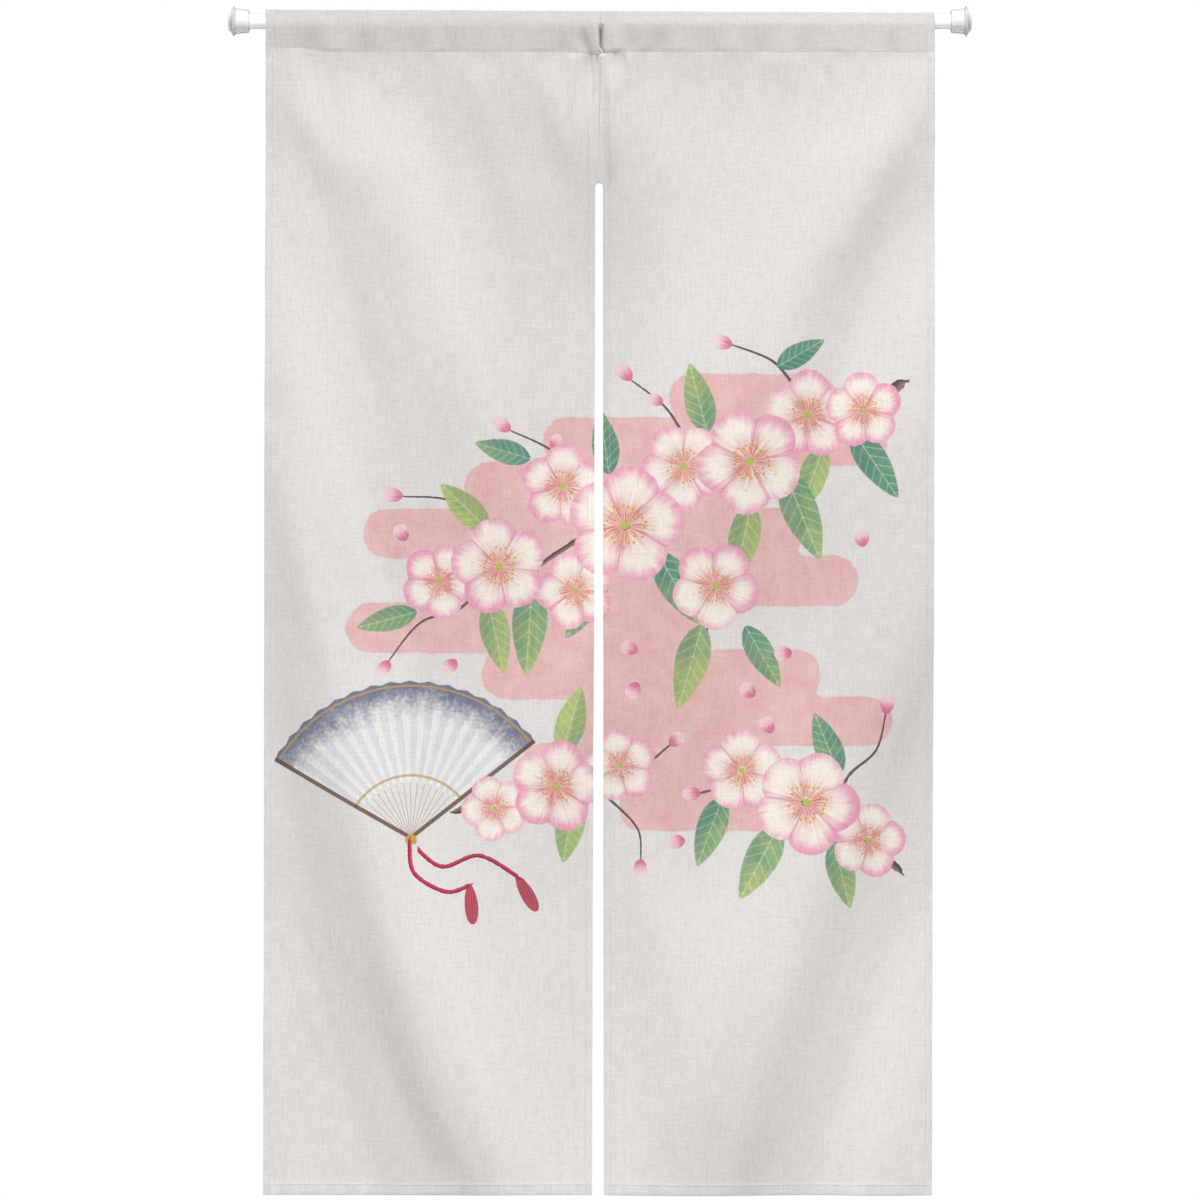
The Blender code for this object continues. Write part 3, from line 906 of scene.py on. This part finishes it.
def fold_rise(x, z):
    """How far the hanging cloth stands forward of the row of stitches in its soft folds."""
    below = STITCH_Z - z
    rise = folded(FOLDS, x, z) * smooth_step(below / FOLD_START)
    rise += folded(SLIGHT_FOLDS, x, z) * smooth_step(below / SLIGHT_START)
    across = (x - CLOTH_LEFT) / (CLOTH_RIGHT - CLOTH_LEFT)
    settled = SETTLE * (1 - 0.9 * across) * (1 - math.exp(-below / SETTLE_LENGTH))
    return rise - HANG_BACK * smooth_step(below / HANG_START) - settled


def relief(side, x, z):
    """The small shapes on the folds: pleats, puckered hems and the cloth's own unevenness."""
    below = STITCH_Z - z
    rise = 0.0
    for pleat in PLEATS:
        stays = smooth_step((z - pleat.fade_to) / (pleat.fade_from - pleat.fade_to))
        starts = smooth_step(below / (0.012 + 8 * max(0.0, pleat.rise)))
        width = pleat.left_width if x < pleat.x else pleat.right_width
        rise += pleat.rise * stays * starts * max(0.0, 1 - abs(x - pleat.x) / width)
    # Gathers just below the stitches
    rise += uneven(x, z, GATHERS) * smooth_step(below / 0.01) * bell(below, GATHER_LENGTH)
    # Hems that pucker between their stitches and their edge
    to_slit = abs(x - slit_line(z)) - slit_half(z)
    hem = bell(to_slit, PUCKER_WIDTH) * smooth_step(below / 0.05)
    hem += bell(x - outer_edge(side, z), PUCKER_WIDTH)
    rise += uneven(side, z, HEM_PUCKERS) * min(1.0, hem) * smooth_step(below / 0.02)
    rise += uneven(x, side, FOOT_PUCKERS) * bell(z - HEM_Z, FOOT_LENGTH)
    slant = x - STREAK_SLANT * z * (2 * smooth_step((x - 0.35) / 0.25) - 1)
    waves = uneven(x, z, CLOTH_WAVES) + sum(uneven(slant, z, row) for row in STREAKS)
    rise += waves * smooth_step(below / 0.05)
    if side > 0:
        curl = CURL * (1 - smooth_step(to_slit / CURL_WIDTH))
        rise -= curl * smooth_step((SLIT_TOP_Z - z) / 0.03)
    return rise


def stitch_sag(x):
    """The stitched line dips a little by the seam, and runs higher at its left end."""
    lift = STITCH_LIFT * smooth_step((LIFT_END - x) / 0.045)
    return lift - STITCH_SAG * bell(x - SEAM_TOP_X + SAG_WIDTH / 2, SAG_WIDTH)


def creased(x, share):
    """How far the creases draw the front layer in, at that share of the way from its bend down."""
    drawn = smooth_step(share) * uneven(x, share, POCKET_SWELL)
    for crease in CREASES:
        aside = x - crease.x - crease.lean * share
        drawn += crease.depth * smooth_step(share / crease.full) * sided_bell(aside, crease)
    return drawn


def stitched_out(x):
    """How far forward the stitched line runs, less by the seam and more towards the right."""
    recess = STITCH_RECESS * bell(x - RECESS_X, RECESS_WIDTH)
    return STITCH_FORWARD + STITCH_EASE * smooth_step((x - 0.55) / 0.30) - recess


def groove(x, away):
    """How deep the stitches pull the cloth in, at that distance from their line."""
    by_seam = bell(x - SEAM_TOP_X + SAG_WIDTH / 2, SAG_WIDTH)
    return (GROOVE + SEAM_GROOVE * by_seam) * bell(away, GROOVE_WIDTH)


def hanging_point(side, x, level):
    """The middle of the cloth's thickness below the stitches."""
    below = STITCH_Z - level
    forward = STITCH_FORWARD + fold_rise(x, level) + relief(side, x, level) - groove(x, below)
    eased = stitched_out(x) - STITCH_FORWARD
    forward += eased * smooth_step(1 - below / (RECESS_FADE if eased < 0 else EASE_FADE))
    forward -= creased(x, 1.0) * smooth_step(1 - below / CREASE_FADE)
    return Vector((x, -forward, level + stitch_sag(x) * smooth_step(1 - below / SAG_FADE)))


def ridged(x, share):
    """How far the ridges stand out of the front layer, at that share of its way down."""
    rise = sum(row.rise * sided_bell(x - row.x - row.lean * share, row) for row in RIDGES)
    return rise * share * smooth_step((1 - share) / 0.12)


def cleft(x, share):
    """How deep the crevice at the seam is, at that share of the way from the bend down."""
    aside = abs(x - SEAM_TOP_X - CLEFT_SWING * smooth_step((share - 0.72) / 0.28))
    half = CLEFT_HALF + (CLEFT_HALF_LOW - CLEFT_HALF) * smooth_step((share - 0.70) / 0.30)
    wall = min(1.0, max(0.0, (half - aside) / (half - CLEFT_FLOOR)))
    return CLEFT_DEPTH * wall * smooth_step(share / 0.22) * smooth_step((1 - share) / 0.03)


def pocket_layer(x, out, stitch_out):
    """(out, z, share of the way from the bend) down a layer that bends in to the stitches."""
    across = (x - CLOTH_LEFT) / (CLOTH_RIGHT - CLOTH_LEFT)
    crest_z = CREST_LEFT + (CREST_RIGHT - CREST_LEFT) * across + uneven(x, 0, CREST_WANDER)
    stitch_z = STITCH_Z + stitch_sag(x)
    slope = (stitch_out - out) / (BEND_Z - stitch_z)
    shares = [0.0, *CREST_SHARES]
    rest = 1 - shares[-1]
    shares += [1 - rest * (LAYER_STEPS - step) / LAYER_STEPS for step in range(1, LAYER_STEPS + 1)]
    path = []
    for share in shares:
        z = crest_z + (stitch_z - crest_z) * share
        below = BEND_Z - z
        bend = below if below > BEND_HALF else max(0.0, below + BEND_HALF) ** 2 / (4 * BEND_HALF)
        down = min(1.0, max(0.0, below / (BEND_Z - stitch_z)))
        path.append((out + slope * bend, z, down))
    return path


def pocket_ring(x):
    """(y, z) round the pocket, from the stitches up the front, over the crest and down."""
    stitch_out = stitched_out(x)
    lean = LEAN_BACK * smooth_step((x - 0.28) / 0.50)
    front = []
    for out, z, down in pocket_layer(x, FRONT_OUT, stitch_out):
        out += ridged(x, down) - creased(x, down) - cleft(x, down) - lean * max(0.0, z - BEND_Z)
        front.append((out - groove(x, z - STITCH_Z - stitch_sag(x)), z))
    # The back layer is pushed back where the creases reach it
    back = pocket_layer(x, -BACK_OUT, stitch_out - creased(x, 1.0))
    back = [(min(out, before[0]), z) for (out, z, _), before in zip(back, front)]
    ring = [(-out, z) for out, z in reversed(front)]
    # Over the crest in a low arch
    for step in range(1, OVER_STEPS + 1):
        share = step / (OVER_STEPS + 1)
        over = front[0][0] - (front[0][0] + BACK_OUT) * share
        ring.append((-over, front[0][1] + ARCH_RISE * math.sin(math.pi * share)))
    return ring + [(-out, z) for out, z in back]


def hanging_levels():
    """Heights of the rows of the hanging cloth, from the bottom hem up to below the stitches."""
    levels = [HEM_Z + row for row in HEM_ROWS]
    slit_low = SLIT_TOP_Z - SLIT_HALF_TOP
    first = levels[-1]
    levels += [first + (slit_low - first) * row / LOWER_ROWS for row in range(1, LOWER_ROWS + 1)]
    for row in range(1, SLIT_ROWS + 1):
        turn = math.pi / 2 * row / SLIT_ROWS
        levels.append(SLIT_TOP_Z - SLIT_HALF_TOP * (1 - math.sin(turn)))
    rise = STITCH_Z - SEAM_ROWS[0] - SLIT_TOP_Z
    levels += [SLIT_TOP_Z + rise * row / UPPER_ROWS for row in range(1, UPPER_ROWS)]
    return levels + [STITCH_Z - row for row in SEAM_ROWS]


def column_places():
    """(zone, share of the zone) of each column, from the outer edge to the seam."""
    places = [(0, share) for share in OUTER_SHARES]
    for zone, steps in ((1, MIDDLE_STEPS), (2, STRIP_STEPS), (3, HEM_STEPS)):
        places += [(zone, step / steps) for step in range(steps)]
    return places + [(4, share) for share in TURNING_SHARES]


def column_x(side, place, level):
    """Where a column stands at that height."""
    zone, share = place
    outer = outer_edge(side, level)
    hem = slit_line(level) + side * (slit_half(level) + SIDE_HEM)
    lines = (
        outer,
        outer - side * OUTER_ZONE,
        hem + side * STRIP_ZONE,
        hem,
        hem - side * STITCH_INSET,
        inner_edge(side, level),
    )
    return lines[zone] + (lines[zone + 1] - lines[zone]) * share


def hem_weight(place, height):
    """1 in the middle of a hem and 0 in the single cloth, less at the edge and at the stitches."""
    zone, share = place
    single = 0.0
    if zone == 0:
        offset = share * OUTER_ZONE
        stitched = SIDE_HEM - STITCH_INSET
        single = smooth_step((SIDE_HEM + HEM_END / 2 - offset) / HEM_END)
    elif zone > 2:
        offset = 0.0 if (zone, share) == (4, 1.0) else (1 - share) * SIDE_HEM
        stitched = offset if (zone, share) == (4, 0.0) else 1.0
        single = 1.0
    weight = 0.0
    if single:
        # The hem's edge is thin, but it is full where it is sewn to the other one
        sewn = zone > 2 and height is not None and height > SLIT_TOP_Z - HEM_Z
        weight = single * (1.0 if sewn else thin_edge(offset))
        weight *= 1 - 0.45 * bell(offset - stitched, 0.0007)
    if height is not None:
        below = smooth_step((BOTTOM_HEM - height) / (2 * EDGE_EASE) + 0.5) * thin_edge(height)
        below *= 1 - 0.20 * bell(height - BOTTOM_HEM + BOTTOM_INSET, 0.0010)
        weight = max(weight, below)
    return weight


def thin_edge(offset):
    """A hem's share of its thickness at that distance from its edge."""
    return EDGE_SHARE + (1 - EDGE_SHARE) * smooth_step(offset / EDGE_EASE)


def column_points(side, place):
    """(point, place on the flat cloth, hem's weight) up a column, over the rod and down."""
    for level in hanging_levels():
        x = column_x(side, place, level)
        yield hanging_point(side, x, level), (x, level, 0), hem_weight(place, level - HEM_Z)
    x = column_x(side, place, STITCH_Z)
    layer_steps = len(CREST_SHARES) + LAYER_STEPS
    run, before = STITCH_Z, None
    for number, (y, z) in enumerate(pocket_ring(x)):
        # The turned-over layer lies one cloth's thickness behind the front one
        turned_over = smooth_step((number - layer_steps - OVER_STEPS - 1) / layer_steps)
        point = Vector((x, y + CLOTH_THICK * turned_over, z))
        run += (point - before).length if number else 0.0
        before = point
        yield point, (x, run, 0), 0.6 * hem_weight(place, None)
    for step in range(1, LIP_STEPS + 1):
        drop = LIP_LENGTH * step / LIP_STEPS
        point = hanging_point(side, x, STITCH_Z - drop) + Vector((0, CLOTH_THICK * 1.25, 0))
        yield point, (x, run + drop, 0), 0.5


def sheet_mesh(side):
    """A flat grid, laid column by column from the bottom hem up to the lip behind the rod."""
    columns = [list(column_points(side, place)) for place in column_places()]
    across, up = len(columns) - 1, len(columns[0]) - 1
    bm = bmesh.new()
    bmesh.ops.create_grid(bm, x_segments=across, y_segments=up, size=0.5)
    hem_layer = bm.verts.layers.deform.verify()
    flat_layer = bm.verts.layers.float_vector.new("flat")
    for vert in bm.verts:
        column = columns[round((vert.co.x + 0.5) * across)]
        vert.co, vert[flat_layer], vert[hem_layer][0] = column[round((vert.co.y + 0.5) * up)]
    # The printed side of the grid has to face the front, from its first row up
    bm.faces.ensure_lookup_table()
    bm.normal_update()
    if bm.faces[0].normal.y > 0:
        bmesh.ops.reverse_faces(bm, faces=bm.faces)
    cut = bm.loops.layers.uv.new("cut")
    for face in bm.faces:
        for loop in face.loops:
            loop[cut].uv = loop.vert[flat_layer][:2]
    lay_print(bm)
    return bm


THREAD_SPACING = 0.0011


def cloth_finish(name, print_share):
    """The cloth's weave and colour. The back shows a share of the print that soaked through."""
    made, shader, shade = material(
        name, Roughness=0.92, Specular_IOR_Level=0.12, Sheen_Weight=0.12, Sheen_Roughness=0.5
    )
    cut = shade.node("ShaderNodeUVMap", {"uv_map": "cut"}, {})
    weft = cut.scaled(44.0, 330.0).grain(1.0, 2.0, 0.6)
    warp = cut.scaled(330.0, 38.0).grain(1.0, 2.0, 0.6)
    fine = cut.grain(0.0029, 2.0, 0.6)
    cloudy = cut.grain(0.045, 3.0, 0.6)
    threads = (weft - 0.5) * 0.165 + (warp - 0.5) * 0.23
    threads = threads + (fine - 0.5) * 0.27 + (cloudy - 0.5) * 0.05 + 1.0
    x, z, _ = cut.parts()
    woven = abs(x.wave(2 * THREAD_SPACING) * z.wave(2 * THREAD_SPACING))
    (woven + (weft + warp + fine) * 0.6).raises(shader, 0.00022, 0.55)
    bare = shade.node("ShaderNodeRGB", {}, {})
    bare.socket.default_value = tint("e6e2df")
    colour = printed(shade, cut, bare)
    shares = {0: print_share, 6: bare, 7: colour}
    seen = shade.node("ShaderNodeMix", {"data_type": "RGBA"}, shares, 2)
    threads.dims(seen).feeds(shader, "Base Color")
    return made


cloth_front = cloth_finish("cloth_front", 1.0)
cloth_back = cloth_finish("cloth_back", 0.2)

Panel = namedtuple("Panel", "name node side")
PANELS = (Panel("cloth_left", "panel_left", -1), Panel("cloth_right", "panel_right", 1))
panels = []
for row in PANELS:
    bm = sheet_mesh(row.side)
    piece = add_object(row.name, bm, cloth_front, cloth_back)
    piece.vertex_groups.new(name="hem")
    thickness = piece.modifiers.new("cloth thickness", "SOLIDIFY")
    thickness.thickness = HEM_THICK
    thickness.offset = 0.0
    thickness.use_even_offset = False
    thickness.vertex_group = "hem"
    thickness.thickness_vertex_group = CLOTH_THICK / HEM_THICK
    thickness.material_offset = 1
    thickness.material_offset_rim = 0
    joins(piece, row.node)
    panels.append((row, piece))

# ------------------------------------------------------------------------------------- Stitches
# Off-white spun thread, sewn by machine through the hems and the pocket, front and back alike. A
# few hand stitches hold the two panels edge to edge above the slit.
THREAD_RADIUS = 0.00024
PITCH = 0.0036
STITCH_LENGTH = 0.0029
HEM_STITCHES = SIDE_HEM - STITCH_INSET
BOTTOM_STITCHES = BOTTOM_HEM - BOTTOM_INSET
HEM_HALF = 0.00069
LIP_HALF = 0.0017
LADDER_TOP = STITCH_Z - 0.006
LADDER_PITCH = 0.0062
LADDER_COUNT = 26
LADDER_HALF = 0.0014
LADDER_SLANT = 0.0006
TIGHT_PITCH = 0.0022
TIGHT_TURNS = 3
ROW_START = 0.004
ROW_INSET = 0.002

# (share of a stitch's length, how far its thread's middle stands out of the cloth there)
ARC = ((0.0, -0.00030), (0.16, 0.00004), (0.5, 0.00013), (0.84, 0.00004), (1.0, -0.00030))
FRONT = Vector((0, -1, 0))

thread, shader, shade = material(
    "spun_thread", Roughness=0.78, Specular_IOR_Level=0.15, Sheen_Weight=0.2
)
plies = shade.place().scaled(1.0, 1.0, 0.6).grain(0.0007, 2.0)
plies.mottles(shader, 0.2, 0.8, 0.86, "dad6d0")
plies.raises(shader, 0.00008)


def add_stitch(threads, middle):
    """One stitch, whose thread's middle is at middle(share of its length, lift)."""
    points = threads.splines.new("POLY").points
    points.add(len(ARC) - 1)
    for point, (share, lift) in zip(points, ARC):
        point.co = (*middle(share, lift), 1.0)


def sew(threads, side, path, length, out, cover):
    """A row of stitches along a path, which gives the place in the cloth at each run of it."""
    for number in range(int(length / PITCH)):
        shift = noise.noise(Vector((number * 0.7, length * 9, cover * 999)))
        start = PITCH * (number + 0.12 * shift)
        add_stitch(
            threads,
            lambda share, lift: path(side, start + STITCH_LENGTH * share) + out * (cover + lift),
        )


def beside_outer(side, run):
    level = HEM_Z + ROW_START + run
    return hanging_point(side, outer_edge(side, level) - side * HEM_STITCHES, level)


def beside_inner(side, run):
    level = HEM_Z + ROW_START + run
    return hanging_point(side, slit_line(level) + side * (slit_half(level) + HEM_STITCHES), level)


def along_bottom(side, run):
    level = HEM_Z + BOTTOM_STITCHES
    return hanging_point(side, outer_edge(side, level) - side * (run + ROW_INSET), level)


def along_pocket(side, run):
    x = outer_edge(side, STITCH_Z) - side * (run + ROW_INSET)
    return hanging_point(side, x, STITCH_Z)


def row_length(side, level):
    return abs(outer_edge(side, level) - inner_edge(side, level)) - 2 * ROW_INSET


def sew_seam(threads, side):
    """Hand stitches across the seam, which close up to a few tight turns at the slit's top."""
    levels = [LADDER_TOP - LADDER_PITCH * step for step in range(LADDER_COUNT)]
    levels += [SLIT_TOP_Z + TIGHT_PITCH * step for step in range(1, TIGHT_TURNS + 1)]
    for level in levels:
        seam = hanging_point(side, inner_edge(side, level) - side * SEAM_GAP / 2, level)
        add_stitch(
            threads,
            lambda share, lift: seam
            + Vector(((2 * share - 1) * LADDER_HALF, 0, (share - 0.5) * LADDER_SLANT))
            + FRONT * (HEM_HALF + lift),
        )


drop = STITCH_Z - HEM_Z - 2 * ROW_START
for row, piece in panels:
    side = row.side
    threads = bpy.data.curves.new(row.name + "_stitches", "CURVE")
    threads.dimensions = "3D"
    threads.bevel_depth = THREAD_RADIUS
    threads.bevel_resolution = 1
    threads.use_fill_caps = True
    threads.materials.append(thread)
    for out in (FRONT, -FRONT):
        sew(threads, side, beside_outer, drop, out, HEM_HALF)
        sew(threads, side, beside_inner, drop, out, HEM_HALF)
        sew(threads, side, along_bottom, row_length(side, HEM_Z), out, HEM_HALF)
    sew(threads, side, along_pocket, row_length(side, STITCH_Z), FRONT, CLOTH_THICK / 2)
    sew(threads, side, along_pocket, row_length(side, STITCH_Z), -FRONT, LIP_HALF)
    if side < 0:
        sew_seam(threads, side)
    stitches = bpy.data.objects.new(row.name + "_stitches", threads)
    bpy.context.scene.collection.objects.link(stitches)
    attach(stitches, "root")

# --------------------------------------------------------------------------------------- Studio
# A plain pale floor under the hem, soft light from high on the right, and the camera straight in
# front, far enough back for the hem to look straight.
FLOOR_Z = -1.62
FLOOR_SIZE = 1.45

bm = bmesh.new()
bmesh.ops.create_circle(bm, cap_ends=True, radius=FLOOR_SIZE, segments=128)
bmesh.ops.translate(bm, verts=bm.verts, vec=(SPAN / 2, 0, FLOOR_Z))
pale, shader, shade = material("pale_floor", Roughness=0.9, Specular_IOR_Level=0.0)
shade.place().grain(0.3, 3.0).mottles(shader, 0.3, 0.7, 0.97, "efefee")
floor = add_object("studio_floor", bm, pale)
floor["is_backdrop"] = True
# The floor takes the light, but throws none back up at the cloth
floor.visible_diffuse = False

scene = bpy.context.scene
scene.view_settings.view_transform = "Standard"
world = bpy.data.worlds.new("studio")
world.use_nodes = True
scene.world = world
shade = Shade(world.node_tree)
seen = shade.node("ShaderNodeLightPath", {}, {}, "Is Camera Ray")
glossy = shade.node("ShaderNodeLightPath", {}, {}, "Is Glossy Ray")
AMBIENT = 0.50
BOUNCE = 0.45
BACK_FILL = 0.42
# Gloss mirrors white sheets in front and below, and darkness behind, which draws the white
# parts' outlines. The cloth's back gets some soft light of its own.
_, back, up = shade.node("ShaderNodeTexCoord", {}, {}, "Generated").parts()
mirrored = (back + up * 0.5).soft(0.1, -0.6, 0.0, 3.2)
ambient = AMBIENT - up * BOUNCE + back.soft(0.0, 1.0, 0.0, BACK_FILL) * (1.0 - up)
strength = ambient + seen * (1.0 - ambient) + glossy * (mirrored - ambient)
strength.feeds(world.node_tree.nodes["Background"], "Strength")
world.node_tree.nodes["Background"].inputs["Color"].default_value = tint("ffffff")

# Soft parallel light from high up, a little to the right of the camera
SUN_TURN, SUN_HEIGHT = math.radians(4), math.radians(71)
lamp = bpy.data.lights.new("key", "SUN")
lamp.energy = 4.32
lamp.angle = math.radians(24)
sun = bpy.data.objects.new("key", lamp)
towards = Vector((math.sin(SUN_TURN), -math.cos(SUN_TURN), math.tan(SUN_HEIGHT)))
sun.rotation_euler = towards.to_track_quat("Z", "Y").to_euler()
scene.collection.objects.link(sun)

CAMERA_DISTANCE = 12.0
FRAME_HEIGHT = 1.5247
FRAME_MIDDLE = (0.4720, -0.7353)
camera_data = bpy.data.cameras.new("camera")
camera_data.lens = camera_data.sensor_width * CAMERA_DISTANCE / FRAME_HEIGHT
camera_data.clip_end = 60.0
camera = bpy.data.objects.new("camera", camera_data)
camera.location = (FRAME_MIDDLE[0], -CAMERA_DISTANCE, FRAME_MIDDLE[1])
camera.rotation_euler = (math.pi / 2, 0, 0)
scene.collection.objects.link(camera)
scene.camera = camera

boxes = {"cad": cad_box, "visual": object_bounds()}
{name: [list(corner) for corner in box] for name, box in boxes.items()}
